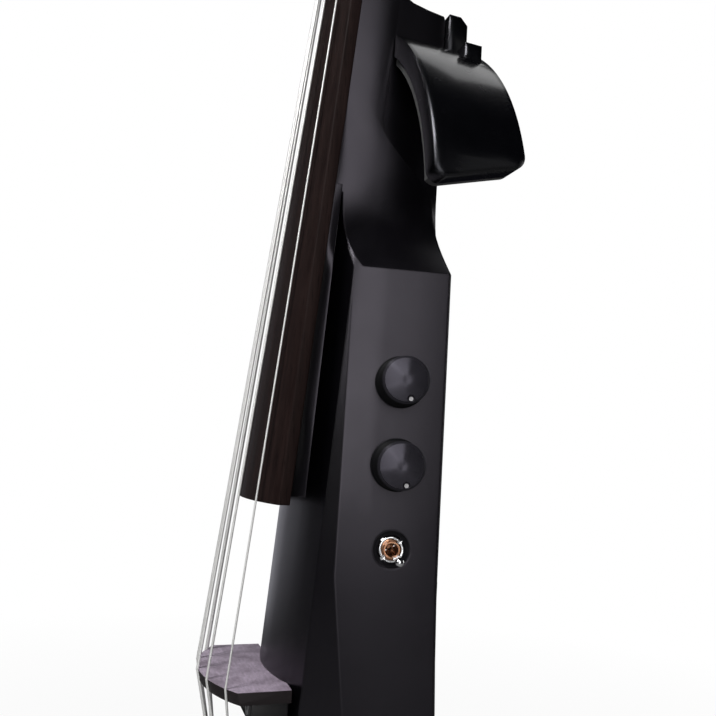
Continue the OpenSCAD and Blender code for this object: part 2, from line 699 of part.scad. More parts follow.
// the dot's turn is measured from +Z of the part towards its back
module dot_place() rotate([0, 0, dot_turn]) translate([-dot_r, 0, knob_high - 0.6]) children();
module dot(z) place() on_panel(z) translate([0, 0, knob_lift]) dot_place()
  translate([0, 0, -0.7 + seat]) cylinder(d = dot_d - seat, h = 0.6);
module volume_knob() color([0.1, 0.1, 0.11]) knob(volume_up);
module tone_knob() color([0.1, 0.1, 0.11]) knob(tone_up);
module volume_dot() color([0.9, 0.9, 0.9]) dot(volume_up);
module tone_dot() color([0.9, 0.9, 0.9]) dot(tone_up);

bush_out = 3.2;
pivot_in = 2.5;
lever_turn = 207;
pin_d = 1.2;
module switch_body() color([0.7, 0.5, 0.4]) place() on_panel(switch_up) difference() {
  union() {
    translate([0, 0, -switch_recess - 3 - 12]) cylinder(d = 14, h = 12 - seat);
    translate([0, 0, -switch_recess - 4]) cylinder(d = switch_bush_d, h = 4 + bush_out);
  }
  translate([0, 0, -switch_recess - 4]) cylinder(d1 = 3.6, d2 = 5.4, h = 8);
  translate([0, 0, -switch_recess - 8]) cylinder(d = 5.4, h = 6);
  translate([0, 0, -switch_recess - pivot_in]) rotate([0, 0, lever_turn]) rotate([90, 0, 0])
    cylinder(d = pin_d + 2 * run_gap, h = 8, center = true);
}
module switch_nut() color([0.8, 0.8, 0.8]) place() on_panel(switch_up)
  translate([0, 0, -switch_recess + seat]) difference() {
    rotate_extrude($fn = 96) polygon([[switch_bush_d / 2 + 0.03, 0], [switch_nut_d / 2, 0],
      [switch_nut_d / 2, 1.4], [switch_nut_d / 2 - 0.7, 2.2], [switch_bush_d / 2 + 1, 2.2],
      [switch_bush_d / 2 + 0.03, 1.6]]);
    for (a = [45, 135]) rotate([0, 0, a]) translate([-10, -0.6, 1.2]) cube([20, 1.2, 3]);
  }
module switch_lever() color([0.8, 0.8, 0.8]) place() on_panel(switch_up)
  translate([0, 0, -switch_recess - pivot_in]) rotate([0, 0, lever_turn])
    rotate([0, -lever_lean, 0]) {
      sphere(d = 3.2, $fn = 32);
      rotate([90, 0, 0]) cylinder(d = pin_d, h = switch_bush_d - 0.2, center = true);
      cylinder(d1 = 1.9, d2 = 2.6, h = 15, $fn = 32);
      translate([0, 0, 15]) sphere(d = 3.6, $fn = 32);
    }

// ---- output jack, low on the treble panel ----
jack_z = -150;
jack_y = 66;
jack_x = panel_x(jack_y, jack_z);
module at_jack() translate([jack_x, jack_y, jack_z]) rotate([0, 0, -panel_tilt])
  rotate([0, 90 - 4.5, 0]) children();
module jack_hole() at_jack() {
  translate([0, 0, -32]) cylinder(d = 9.5 + fit, h = 40);
  translate([0, 0, -0.6]) cylinder(d = 17, h = 8);
}
module jack_socket() color([0.5, 0.5, 0.5]) place() at_jack() difference() {
  union() {
    translate([0, 0, -28]) cylinder(d = 9.5, h = 28 + 2.6);
    translate([0, 0, -0.6 + seat]) cylinder(d = 15, h = 0.9);
  }
  translate([0, 0, -24]) cylinder(d = jack_bore_d, h = 40);
}
module jack_nut() color([0.7, 0.7, 0.7]) place() at_jack() translate([0, 0, 0.3 + 2 * seat])
  difference() {
    cylinder(d = 13.5, h = 2, $fn = 6);
    translate([0, 0, -1]) cylinder(d = 9.5 + fit, h = 5);
  }

// ---- stand plate ----
function stand_places() = [for (x = [-11, 11]) for (z = [-11, 11])
  [x, stand_y, stand_up + z]];
module stand_plate() color([0.3, 0.3, 0.32]) place() difference() {
  union() {
    translate([-stand_half, stand_y - plate_thick - 6 + seat, stand_up - stand_half])
      cube([2 * stand_half, plate_thick + 6 - seat, 2 * stand_half]);
    translate([0, stand_y - 1, stand_up]) rotate([90, 0, 0]) cylinder(d = 16, h = 19);
  }
  translate([0, stand_y + 1, stand_up]) rotate([90, 0, 0])
    cylinder(d = stand_bore_d, h = stand_bore_deep + 1);
  for (p = stand_places()) translate(p + [0, 1, 0]) rotate([90, 0, 0]) {
    cylinder(d = 3 + fit, h = 20);
    cylinder(d = 6, h = 4);
  }
}
module stand_screws() color([0.6, 0.6, 0.62]) place() for (p = stand_places())
  translate(p - [0, 0.2, 0]) rotate([90, 0, 0]) cap_screw(3, 5.8, 2.5, 18);

// ---- back cover ----
cover_z0 = 62;
cover_z1 = 150;
cover_half = 24;
cover_y = back_center - 2;
function cover_places() = [for (x = [-19, 19]) for (z = [cover_z0 + 5, cover_z1 - 5])
  [x, cover_y, z]];
module cover_shape(g) translate([-cover_half - g, cover_y - 3, cover_z0 - g])
  cube([2 * cover_half + 2 * g, 40, cover_z1 - cover_z0 + 2 * g]);
module cover_seat() cover_shape(fit);
module back_cover() color([0.1, 0.1, 0.1]) place() difference() {
  translate([-cover_half, cover_y - 3 + seat, cover_z0])
    cube([2 * cover_half, 3 - seat, cover_z1 - cover_z0]);
  for (p = cover_places()) translate(p + [0, 1, 0]) rotate([90, 0, 0]) {
    cylinder(d = 2.4 + fit, h = 20);
    cylinder(d = 5, h = 2.6);
  }
}
module cover_screws() color([0.6, 0.6, 0.62]) place() for (p = cover_places())
  translate(p) rotate([90, 0, 0]) cap_screw(2.4, 4.8, 1.5, 11);

// ---- endpin ----
thumb_d = collar_high - 1;
module endpin_collar() color([0.15, 0.15, 0.15]) place()
  translate([0, endpin_y, -body_below - collar_high]) difference() {
    union() {
      rotate_extrude($fn = 96) polygon([[0, 0], [collar_d / 2 - 3, 0], [collar_d / 2, 3],
        [collar_d / 2, collar_high - seat], [0, collar_high - seat]]);
      cylinder(d = collar_d - 6, h = collar_high + collar_sink - seat);
    }
    translate([0, 0, -1]) cylinder(d = endpin_d + 2 * run_gap, h = 60);
    translate([0, 0, collar_high / 2]) rotate([90, 0, 0])
      cylinder(d = 5 + 2 * run_gap, h = 40);
  }
module endpin_rod() color([0.2, 0.2, 0.2]) place()
  translate([0, endpin_y, rod_top - endpin_len]) cylinder(d = endpin_d, h = endpin_len);
module endpin_tip() color([0.1, 0.1, 0.1]) place()
  translate([0, endpin_y, rod_top - endpin_len]) rotate([180, 0, 0])
    rotate_extrude($fn = 64) polygon([[0, seat], [endpin_d / 2 + 2, seat],
      [endpin_d / 2 + 2, 10], [endpin_d / 2 - 1, 16], [1.5, 26], [0, 27]]);
module endpin_screw() color([0.7, 0.7, 0.7]) place()
  translate([0, endpin_y - endpin_d / 2 - 0.3, -body_below - collar_high / 2])
    rotate([90, 0, 0]) {
      cylinder(d = 5, h = 16);
      translate([0, 0, 12]) difference() {
        cylinder(d = thumb_d, h = 8);
        for (a = [0:30:330]) rotate([0, 0, a]) translate([thumb_d / 2 + 0.5, 0, -1])
          cylinder(d = 2, h = 10);
      }
    }

// ---- machines ----
shaft_up = 8.5;
housing_half = 8;
function housing_screws(i) = [[-2.4 * post_side(i), -5], [-5.1 * post_side(i), 11]];
post_deep = housing_high - 2;
module tuner_housings() color([0.15, 0.15, 0.16]) place() in_head() for (i = [1:5])
  translate([post_x(i), head_thick + seat, post_z(i)]) difference() {
    union() {
      translate([-housing_half, 0, -8]) cube([2 * housing_half, 3, 23]);
      translate([-housing_half + 1, 0, -6]) cube([2 * housing_half - 2, housing_high, 19]);
      translate([0, housing_high / 2 + 1, shaft_up]) rotate([0, post_side(i) * 90, 0])
        cylinder(d = 9, h = head_width / 2 - abs(post_x(i)) + 1);
    }
    translate([0, -1, 0]) rotate([-90, 0, 0]) cylinder(d = post_d + 2 * run_gap,
      h = post_deep + 1);
    translate([-post_side(i) * 3.4, housing_high / 2 + 1, shaft_up])
      rotate([0, post_side(i) * 90, 0]) cylinder(d = shaft_d + 2 * run_gap, h = 60);
    for (p = housing_screws(i)) translate([p[0], -1, p[1]]) rotate([-90, 0, 0])
      cylinder(d = 2 + fit, h = 20);
  }
module tuner_screws() color([0.6, 0.6, 0.62]) place() in_head() for (i = [1:5])
  for (p = housing_screws(i)) translate([post_x(i) + p[0],
    head_thick + housing_high + 1.2, post_z(i) + p[1]]) rotate([90, 0, 0])
      cap_screw(2, 3.8, 1.1, housing_high + 7);
module tuner_post(i) place() in_head() {
  translate([post_x(i), 0, post_z(i)]) rotate([-90, 0, 0]) {
    translate([0, 0, -post_out]) cylinder(d = post_d, h = post_out + head_thick + post_deep - 0.4);
    translate([0, 0, -post_out - 0.8]) cylinder(d1 = post_d + 0.4, d2 = post_d + 2, h = 1.6);
    translate([0, 0, -collar_thick]) cylinder(d = post_d + 5, h = collar_thick - 0.15);
  }
}
module tuner_post_1() color([0.7, 0.7, 0.72]) tuner_post(1);
module tuner_post_2() color([0.7, 0.7, 0.72]) tuner_post(2);
module tuner_post_3() color([0.7, 0.7, 0.72]) tuner_post(3);
module tuner_post_4() color([0.7, 0.7, 0.72]) tuner_post(4);
module tuner_post_5() color([0.7, 0.7, 0.72]) tuner_post(5);
button_gap = 2;
module tuner_button(i) place() in_head()
  translate([post_x(i), head_thick + seat + housing_high / 2 + 1, post_z(i) + shaft_up])
    rotate([0, post_side(i) * 90, 0]) {
      reach = head_width / 2 - abs(post_x(i)) + 1 + button_gap;
      translate([0, 0, -3]) cylinder(d = shaft_d, h = reach + 5);
      translate([0, 0, reach]) intersection() {
        rotate_extrude($fn = 64) polygon([[0, 0], [5, 0], [6, 2], [button_high / 2 - 1,
          button_len - 6], [button_high / 2, button_len - 3], [button_high / 2 - 2, button_len],
          [0, button_len]]);
        translate([-button_high, -4.5, -1]) cube([2 * button_high, 9, button_len + 2]);
      }
    }
module tuner_button_1() color([0.1, 0.1, 0.1]) tuner_button(1);
module tuner_button_2() color([0.1, 0.1, 0.1]) tuner_button(2);
module tuner_button_3() color([0.1, 0.1, 0.1]) tuner_button(3);
module tuner_button_4() color([0.1, 0.1, 0.1]) tuner_button(4);
module tuner_button_5() color([0.1, 0.1, 0.1]) tuner_button(5);

function placed(p) = p - [0, stand_y, stand_up];
function panel_point(z, out) = [panel_half, panel_front, z]
  + control_in * [sin(panel_tilt), cos(panel_tilt), 0] + out * panel_normal;
panel_normal = [cos(panel_tilt), -sin(panel_tilt), 0];
echo("knob axes", placed(panel_point(volume_up, 0)), placed(panel_point(tone_up, 0)), panel_normal);
echo("lever pivot", placed(panel_point(switch_up, -switch_recess - pivot_in)));
echo("jack mouth", placed([jack_x, jack_y, jack_z]), "endpin", placed([0, endpin_y, -body_below]));
echo("posts", [for (i = [1:5]) placed(to_head([post_x(i), 0, post_z(i)]))]);
echo("shafts", [for (i = [1:5]) placed(to_head([post_x(i), head_thick + seat
  + housing_high / 2 + 1, post_z(i) + shaft_up]))]);
echo("head direction", to_head([0, 1, 0]) - to_head([0, 0, 0]));

body();
neck();
fingerboard();
board_support();
nut();
bridge();
bridge_base();
bridge_screws();
string_1();
string_2();
string_3();
string_4();
string_5();
string_balls();
tail_anchor();
tail_screws();
bout_wing();
bout_liner();
bout_bracket();
bout_screws();
volume_pot();
tone_pot();
volume_knob();
tone_knob();
volume_dot();
tone_dot();
switch_body();
switch_nut();
switch_lever();
jack_socket();
jack_nut();
stand_plate();
stand_screws();
endpin_collar();
endpin_rod();
endpin_tip();
endpin_screw();
tuner_housings();
tuner_post_1();
tuner_post_2();
tuner_post_3();
tuner_post_4();
tuner_post_5();
tuner_button_1();
tuner_button_2();
tuner_button_3();
tuner_button_4();
tuner_button_5();
tuner_screws();
back_cover();
cover_screws();
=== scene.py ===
"""Looks for the slim electric cello: materials, soft edges and shading, studio light and camera."""

import json
import math

import bmesh
import bpy
from mathutils import Matrix, Vector


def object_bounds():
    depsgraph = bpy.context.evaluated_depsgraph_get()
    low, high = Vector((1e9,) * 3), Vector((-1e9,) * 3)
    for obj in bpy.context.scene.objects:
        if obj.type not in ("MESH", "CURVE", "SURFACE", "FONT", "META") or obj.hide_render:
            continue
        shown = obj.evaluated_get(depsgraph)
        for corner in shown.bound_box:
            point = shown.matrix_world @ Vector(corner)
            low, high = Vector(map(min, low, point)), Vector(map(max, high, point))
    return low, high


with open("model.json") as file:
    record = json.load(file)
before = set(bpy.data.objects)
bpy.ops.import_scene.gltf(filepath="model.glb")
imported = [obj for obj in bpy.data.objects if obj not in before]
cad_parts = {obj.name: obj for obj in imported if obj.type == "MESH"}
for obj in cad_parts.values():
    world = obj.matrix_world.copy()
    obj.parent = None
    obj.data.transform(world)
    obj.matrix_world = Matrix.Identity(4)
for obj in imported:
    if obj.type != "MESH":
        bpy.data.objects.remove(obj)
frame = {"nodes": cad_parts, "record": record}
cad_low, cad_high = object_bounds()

NODES = frame["nodes"]
scene = bpy.context.scene

# ---------------------------------------------------------------- camera
# fitted to the photo's strings, board and bridge; the photo is square
CAM_AT = Vector((0.28881, -0.137104, 0.06904))
CAM_RIGHT = Vector((0.337, 0.94, 0.062))
CAM_DOWN = Vector((-0.097, 0.1, -0.99))
SENSOR_MM = 36.0
LENS_MM = 35.37
CLIP_NEAR, CLIP_FAR = 0.005, 30.0


def make_camera():
    """Places the camera with its right and down directions made square to each other."""
    right = CAM_RIGHT.normalized()
    up = -(CAM_DOWN - CAM_DOWN.dot(right) * right).normalized()
    back = right.cross(up)
    data = bpy.data.cameras.new("camera")
    data.sensor_fit = "HORIZONTAL"
    data.sensor_width = SENSOR_MM
    data.lens = LENS_MM
    data.clip_start = CLIP_NEAR
    data.clip_end = CLIP_FAR
    cam = bpy.data.objects.new("camera", data)
    placed = Matrix((right, up, back)).transposed().to_4x4()
    placed.translation = CAM_AT
    cam.matrix_world = placed
    scene.collection.objects.link(cam)
    scene.camera = cam


make_camera()


# ---------------------------------------------------------------- materials
# where a noise is turned into two tones: all of the first below, all of the second above
NOISE_LOW, NOISE_HIGH = 0.3, 0.7


class Mat:
    """A material with one Principled shader, and short names for the nodes that feed it."""

    def __init__(self, name):
        self.mat = bpy.data.materials.new(name)
        self.mat.use_nodes = True
        self.nt = self.mat.node_tree
        self.nt.nodes.clear()
        self.out = self.nt.nodes.new("ShaderNodeOutputMaterial")
        self.bsdf = self.nt.nodes.new("ShaderNodeBsdfPrincipled")
        self.link(self.bsdf.outputs[0], self.out.inputs[0])
        self.coord = self.nt.nodes.new("ShaderNodeTexCoord").outputs["Object"]

    # the shader's own sockets
    def set(self, **values):
        for name, value in values.items():
            self.bsdf.inputs[name.replace("_", " ")].default_value = value

    def link(self, a, b):
        self.nt.links.new(a, b)

    def base(self, col):
        self.link(col, self.bsdf.inputs["Base Color"])

    def rough(self, val):
        self.link(val, self.bsdf.inputs["Roughness"])

    def bump(self, height, *, strength, distance, normal=None):
        n = self.nt.nodes.new("ShaderNodeBump")
        if normal:
            self.link(normal, n.inputs["Normal"])
        n.inputs["Strength"].default_value = strength
        n.inputs["Distance"].default_value = distance
        self.link(height, n.inputs["Height"])
        self.link(n.outputs[0], self.bsdf.inputs["Normal"])

    # patterns
    def mapped(self, scale):
        n = self.nt.nodes.new("ShaderNodeMapping")
        n.inputs["Scale"].default_value = scale
        self.link(self.coord, n.inputs["Vector"])
        return n.outputs[0]

    def noise(self, scale, *, detail, rough=0.55, vec=None, distortion=0.0):
        n = self.nt.nodes.new("ShaderNodeTexNoise")
        n.inputs["Scale"].default_value = scale
        n.inputs["Detail"].default_value = detail
        n.inputs["Roughness"].default_value = rough
        n.inputs["Distortion"].default_value = distortion
        self.link(vec or self.coord, n.inputs["Vector"])
        return n.outputs["Fac"]

    # tones
    def ramp(self, fac, *stops):
        """A colour ramp through (position, grey or colour) stops."""
        n = self.nt.nodes.new("ShaderNodeValToRGB")
        elements = n.color_ramp.elements
        for element, (position, tone) in zip(elements, stops):
            element.position = position
            element.color = (*tone, 1.0) if isinstance(tone, tuple) else (tone, tone, tone, 1.0)
        self.link(fac, n.inputs["Fac"])
        return n.outputs["Color"]

    def tones(self, noise, low, high):
        return self.ramp(noise, (NOISE_LOW, low), (NOISE_HIGH, high))

    def mix(self, fac, a, b):
        n = self.nt.nodes.new("ShaderNodeMix")
        n.data_type = "RGBA"
        for key, value in (("Factor", fac), ("A", a), ("B", b)):
            socket = n.inputs[key]
            if isinstance(value, float):
                socket.default_value = (value, value, value, 1.0)
            elif isinstance(value, tuple):
                socket.default_value = (*value, 1.0)
            else:
                self.link(value, socket)
        return n.outputs["Result"]

    # arithmetic
    def math(self, op, a, b=0.0):
        n = self.nt.nodes.new("ShaderNodeMath")
        n.operation = op
        for i, value in enumerate((a, b)):
            if isinstance(value, float):
                n.inputs[i].default_value = value
            else:
                self.link(value, n.inputs[i])
        return n.outputs[0]

    def times(self, a, b):
        return self.math("MULTIPLY", a, b)

    def minus(self, a, b):
        return self.math("SUBTRACT", a, b)

    def absolute(self, a):
        return self.math("ABSOLUTE", a)

    def ease(self, val, low, high):
        """0 below low, 1 above high, smooth between."""
        n = self.nt.nodes.new("ShaderNodeMapRange")
        n.interpolation_type = "SMOOTHSTEP"
        n.inputs["From Min"].default_value = low
        n.inputs["From Max"].default_value = high
        self.link(val, n.inputs["Value"])
        return n.outputs["Result"]

    # vectors
    def vec(self, op, a, b=None, out=0):
        n = self.nt.nodes.new("ShaderNodeVectorMath")
        n.operation = op
        for i, value in enumerate((a, b)):
            if isinstance(value, Vector):
                n.inputs[i].default_value = value
            elif value is not None:
                self.link(value, n.inputs[i])
        return n.outputs[out]

    def unit(self, a):
        return self.vec("NORMALIZE", a)

    def length(self, a):
        return self.vec("LENGTH", a, out="Value")

    def scaled(self, a, amount):
        grown = self.vec("SCALE", a)
        self.link(amount, grown.node.inputs["Scale"])
        return grown

    def combine(self, **axes):
        """A vector from the given X, Y and Z; an axis that isn't given is 0."""
        n = self.nt.nodes.new("ShaderNodeCombineXYZ")
        for axis, value in axes.items():
            self.link(value, n.inputs[axis])
        return n.outputs[0]

    def axis(self, name, vec=None):
        n = self.nt.nodes.new("ShaderNodeSeparateXYZ")
        self.link(vec or self.coord, n.inputs[0])
        return n.outputs[name]

    # normals and edges
    def normal(self):
        return self.nt.nodes.new("ShaderNodeNewGeometry").outputs["Normal"]

    def soft_normal(self, *, radius, samples):
        """The normal as if every edge were rounded by the radius."""
        n = self.nt.nodes.new("ShaderNodeBevel")
        n.samples = samples
        n.inputs["Radius"].default_value = radius
        return n.outputs[0]

    def wear(self, *, radius, first, last, amount):
        """0 on flat parts, up to the amount on sharp edges, where the soft normal turns away."""
        soft = self.soft_normal(radius=radius, samples=6)
        turn = self.minus(1.0, self.vec("DOT_PRODUCT", soft, self.normal(), "Value"))
        return self.times(self.ramp(turn, (first, 0.0), (last, 1.0)), amount)


# the side panel faces this way; the knobs' and the toggle's axes follow it
PANEL_OUT = Vector((0.97437, -0.22495, 0.0))
# a point on the toggle's axis, and the radii between which raw hole turns into satin panel
SWITCH_AT = Vector((0.0345, -0.03001, 0.031))
SWITCH_HOLE = (0.0069, 0.0074)
RAW_HOLE_ROUGH = 0.95
# the neck's and heel's sides: height they start at, middle line, turn of the shading per metre
SIDES_FROM = (0.15, 0.19)
CROWN_Y, CROWN_TURN, CROWN_SHARE = -0.028, 14.0, 0.92
FACES_SIDEWAYS = (0.05, 0.3)
# the side panel's front edge: its y, how it leans back below BEND_Z, where it ends at the top
EDGE_Y = -0.0505
BEND_Z, LEAN = 0.02, 0.125
EDGE_TOP = (0.135, 0.15)
EDGE_WIDTH = (-0.0003, 0.0012)
EDGE_TURN = -0.75


def crowned_sides(m, soft, sideways):
    """What turns the neck's and heel's sides evenly in shading, from front to back."""
    across = m.math("SIGN", m.axis("X", soft))
    along = m.times(m.minus(m.axis("Y"), CROWN_Y), CROWN_TURN)
    target = m.unit(m.combine(X=across, Y=along))
    amount = m.times(m.times(sideways, m.ease(m.axis("Z"), *SIDES_FROM)), CROWN_SHARE)
    return m.scaled(m.vec("SUBTRACT", target, soft), amount)


def rounded_panel_edge(m, sideways):
    """What turns the body away in front of the side panel's edge, below the scoop."""
    lean = m.times(m.math("MAXIMUM", m.minus(BEND_Z, m.axis("Z"))), LEAN)
    ahead = m.minus(m.math("ADD", lean, EDGE_Y), m.axis("Y"))
    below = m.minus(1.0, m.ease(m.axis("Z"), *EDGE_TOP))
    away = m.times(m.times(m.ease(ahead, *EDGE_WIDTH), below), sideways)
    return m.combine(Y=m.times(away, EDGE_TURN))


def satin_lacquer():
    """The body's fine-grained satin black, raw and dull inside the toggle's hole."""
    m = Mat("satin_lacquer")
    deep, lighter = (0.0009, 0.0008, 0.0013), (0.0015, 0.0013, 0.0021)
    black = m.ramp(m.noise(22.0, detail=3.0), (0.35, deep), (0.65, lighter))
    # lighter along sharp edges: partly rubbed wear, partly a painted highlight where the panel's
    # edges catch the light
    worn = m.wear(radius=0.0009, first=0.02, last=0.3, amount=0.25)
    m.base(m.mix(worn, black, (0.05, 0.047, 0.052)))
    from_switch = m.vec("SUBTRACT", m.coord, SWITCH_AT)
    off_axis = m.length(m.vec("CROSS_PRODUCT", from_switch, PANEL_OUT))
    satin = m.tones(m.noise(60.0, detail=5.0), 0.29, 0.35)
    m.rough(m.mix(m.ease(off_axis, *SWITCH_HOLE), RAW_HOLE_ROUGH, satin))
    soft = m.soft_normal(radius=0.0012, samples=8)
    sideways = m.ease(m.absolute(m.axis("X", soft)), *FACES_SIDEWAYS)
    turned = m.vec("ADD", soft, crowned_sides(m, soft, sideways))
    turned = m.unit(m.vec("ADD", turned, rounded_panel_edge(m, sideways)))
    m.bump(m.noise(2600.0, detail=2.0), strength=0.12, distance=0.0001, normal=turned)
    m.set(IOR=1.5, Coat_Weight=0.06, Coat_Roughness=0.22, Specular_Tint=(0.93, 0.86, 1.0, 1.0))
    return m.mat


def gloss_lacquer():
    """The wing's polished black, with every edge softly rounded over."""
    m = Mat("gloss_lacquer")
    black = m.noise(30.0, detail=2.0)
    m.base(m.tones(black, (0.0006, 0.0007, 0.001), (0.001, 0.0011, 0.0016)))
    m.rough(m.tones(m.noise(90.0, detail=4.0), 0.22, 0.28))
    soft = m.soft_normal(radius=0.0034, samples=12)
    m.bump(m.noise(240.0, detail=2.0), strength=0.015, distance=0.0002, normal=soft)
    m.set(IOR=1.5, Coat_Weight=0.8, Coat_Roughness=0.13, Specular_Tint=(0.9, 0.9, 1.0, 1.0))
    return m.mat


# along the piece the grain is stretched this much, and the pores a little less
GRAIN_STRETCH, PORE_STRETCH = 0.045, 0.072
PORE_SHADE = 0.35


def ebony(name, dark, light, rough, coat, ior, level):
    """Close straight grain: long streaks along the piece, short dark pores."""
    m = Mat(name)
    grain = m.mapped((1.0, 1.0, GRAIN_STRETCH))
    streak = m.noise(420.0, detail=6.0, rough=0.6, vec=grain, distortion=0.3)
    pores = m.noise(1500.0, detail=3.0, rough=0.6, vec=m.mapped((1.0, 1.0, PORE_STRETCH)))
    pore = m.ramp(pores, (0.56, 0.0), (0.68, 1.0))
    wood = m.ramp(streak, (0.3, dark), (0.72, light))
    m.base(m.mix(m.times(pore, 0.55), wood, tuple(c * PORE_SHADE for c in dark)))
    m.rough(m.tones(streak, *rough))
    m.bump(m.minus(streak, pore), strength=0.16, distance=0.00012)
    m.set(IOR=ior, Coat_Weight=coat, Coat_Roughness=0.3, Specular_IOR_Level=level)
    return m.mat


def bridge_wood():
    """The bridge plate: a mottled saw-cut top whose pale grey is partly its own tone and partly
    painted light from above, darker along sharp edges, and dark oiled sides.
    """
    m = Mat("ebony_bridge")
    fleck = m.noise(900.0, detail=6.0, rough=0.7, vec=m.mapped((0.3, 1.0, 1.0)))
    top = m.tones(fleck, (0.33, 0.27, 0.34), (0.62, 0.52, 0.64))
    cloud = m.ramp(m.noise(120.0, detail=3.0), (0.4, 0.0), (0.65, 0.5))
    top = m.mix(cloud, top, (0.13, 0.095, 0.125))
    edges = m.wear(radius=0.0006, first=0.05, last=0.4, amount=0.9)
    top = m.mix(edges, top, (0.018, 0.01, 0.012))
    oiled = m.tones(fleck, (0.005, 0.0025, 0.003), (0.012, 0.006, 0.0075))
    # painted light: faces pointing up get the pale top, lit as if from above; the other faces get
    # the dark wood
    lit_top_mask = m.ease(m.absolute(m.axis("Z", m.normal())), 0.6, 0.95)
    m.base(m.mix(lit_top_mask, oiled, top))
    m.rough(m.tones(fleck, 0.45, 0.6))
    m.bump(fleck, strength=0.2, distance=0.00015)
    m.set(IOR=1.5)
    return m.mat


def plastic(name, dark, light, rough, grain=900.0, bump=0.12, coat=0.0):
    """Moulded plastic, a little lighter where its edges are rubbed."""
    m = Mat(name)
    body = m.tones(m.noise(45.0, detail=3.0), dark, light)
    rubbed = tuple(min(1.0, c * 3 + 0.02) for c in light)
    worn = m.wear(radius=0.0005, first=0.03, last=0.3, amount=0.3)
    m.base(m.mix(worn, body, rubbed))
    m.rough(m.tones(m.noise(150.0, detail=5.0), *rough))
    m.bump(m.noise(grain, detail=3.0), strength=bump, distance=0.00012)
    m.set(IOR=1.5, Coat_Weight=coat, Coat_Roughness=0.12)
    return m.mat


def metal(name, dark, light, rough, stretch=1.0, wear=None):
    """Bare or blackened metal; the fine lines run along z where the stretch is below 1."""
    m = Mat(name)
    lines = m.noise(500.0, detail=5.0, rough=0.6, vec=m.mapped((1.0, 1.0, stretch)))
    col = m.tones(lines, dark, light)
    if wear:
        worn = m.wear(radius=0.0005, first=0.03, last=0.3, amount=0.6)
        col = m.mix(worn, col, (wear, wear, wear))
    m.base(col)
    m.rough(m.tones(lines, *rough))
    m.bump(lines, strength=0.08, distance=0.00006)
    m.set(Metallic=1.0)
    return m.mat


def string_wrap():
    """Flat-wound steel: the ribbon's turns are fine rings along the string."""
    m = Mat("string_steel")
    turns = m.nt.nodes.new("ShaderNodeTexWave")
    turns.wave_type = "BANDS"
    turns.bands_direction = "Z"
    turns.inputs["Scale"].default_value = 900.0
    turns.inputs["Distortion"].default_value = 0.6
    turns.inputs["Detail"].default_value = 1.0
    m.link(m.coord, turns.inputs["Vector"])
    ring = turns.outputs["Fac"]
    tarnish = m.noise(70.0, detail=5.0, rough=0.6, vec=m.mapped((1.0, 1.0, 0.12)))
    # near-white: partly the steel's own tone and partly a painted reflection of the white room, so
    # the strings read lighter than bare steel
    steel = m.tones(tarnish, (0.84, 0.84, 0.82), (0.97, 0.97, 0.95))
    gap = m.ramp(ring, (0.0, 0.4), (0.3, 0.0))
    m.base(m.mix(gap, steel, (0.6, 0.59, 0.57)))
    m.rough(m.ramp(ring, (0.0, 0.5), (0.5, 0.38)))
    m.bump(ring, strength=0.25, distance=0.00008)
    m.set(Metallic=0.4)
    return m.mat


def rubber(name, dark, light):
    """Dull, finely grained rubber."""
    m = Mat(name)
    m.base(m.tones(m.noise(120.0, detail=4.0), dark, light))
    m.rough(m.tones(m.noise(500.0, detail=3.0), 0.62, 0.78))
    m.bump(m.noise(1600.0, detail=4.0), strength=0.3, distance=0.00015)
    m.set(IOR=1.45, Sheen_Weight=0.15, Sheen_Roughness=0.5)
    return m.mat


# a point on the knobs' axes, by height; the face's shading turns DOME at the rim KNOB_R
KNOB_X, KNOB_Y = 0.035724, -0.030292
VOLUME_Z, TONE_Z = 0.095, 0.063
KNOB_R = 0.0125
DOME = 0.24


def turned_knob(name, z):
    """Black knob turned on a lathe: fine rings round its axis spread the highlight into wedges."""
    m = Mat(name)
    from_middle = m.vec("SUBTRACT", m.coord, Vector((KNOB_X, KNOB_Y, z)))
    from_axis = m.vec("CROSS_PRODUCT", from_middle, PANEL_OUT)
    radius = m.length(from_axis)
    outward = m.unit(m.vec("CROSS_PRODUCT", PANEL_OUT, from_axis))
    m.link(outward, m.bsdf.inputs["Tangent"])
    face = m.ease(m.vec("DOT_PRODUCT", m.normal(), PANEL_OUT, "Value"), 0.5, 0.9)
    dome = m.scaled(outward, m.times(m.times(radius, DOME / KNOB_R), face))
    grooves = m.noise(9000.0, detail=2.0, rough=0.7, vec=m.combine(X=radius))
    cloud = m.noise(60.0, detail=3.0)
    top = m.tones(cloud, (0.045, 0.042, 0.052), (0.06, 0.057, 0.069))
    # painted shade: the side is near black, partly its own matte black and partly painted shade;
    # the face gets the lighter tone
    tone = m.mix(face, (0.002, 0.002, 0.003), top)
    worn = m.wear(radius=0.0004, first=0.03, last=0.3, amount=0.3)
    m.base(m.mix(worn, tone, (0.1, 0.095, 0.11)))
    m.rough(m.mix(face, 0.8, m.tones(grooves, 0.21, 0.28)))
    domed = m.unit(m.vec("ADD", m.normal(), dome))
    m.bump(grooves, strength=0.1, distance=0.00004, normal=domed)
    m.link(m.times(face, 0.8), m.bsdf.inputs["Metallic"])
    m.set(IOR=1.5, Anisotropic=0.92, Specular_IOR_Level=0.15)
    return m.mat


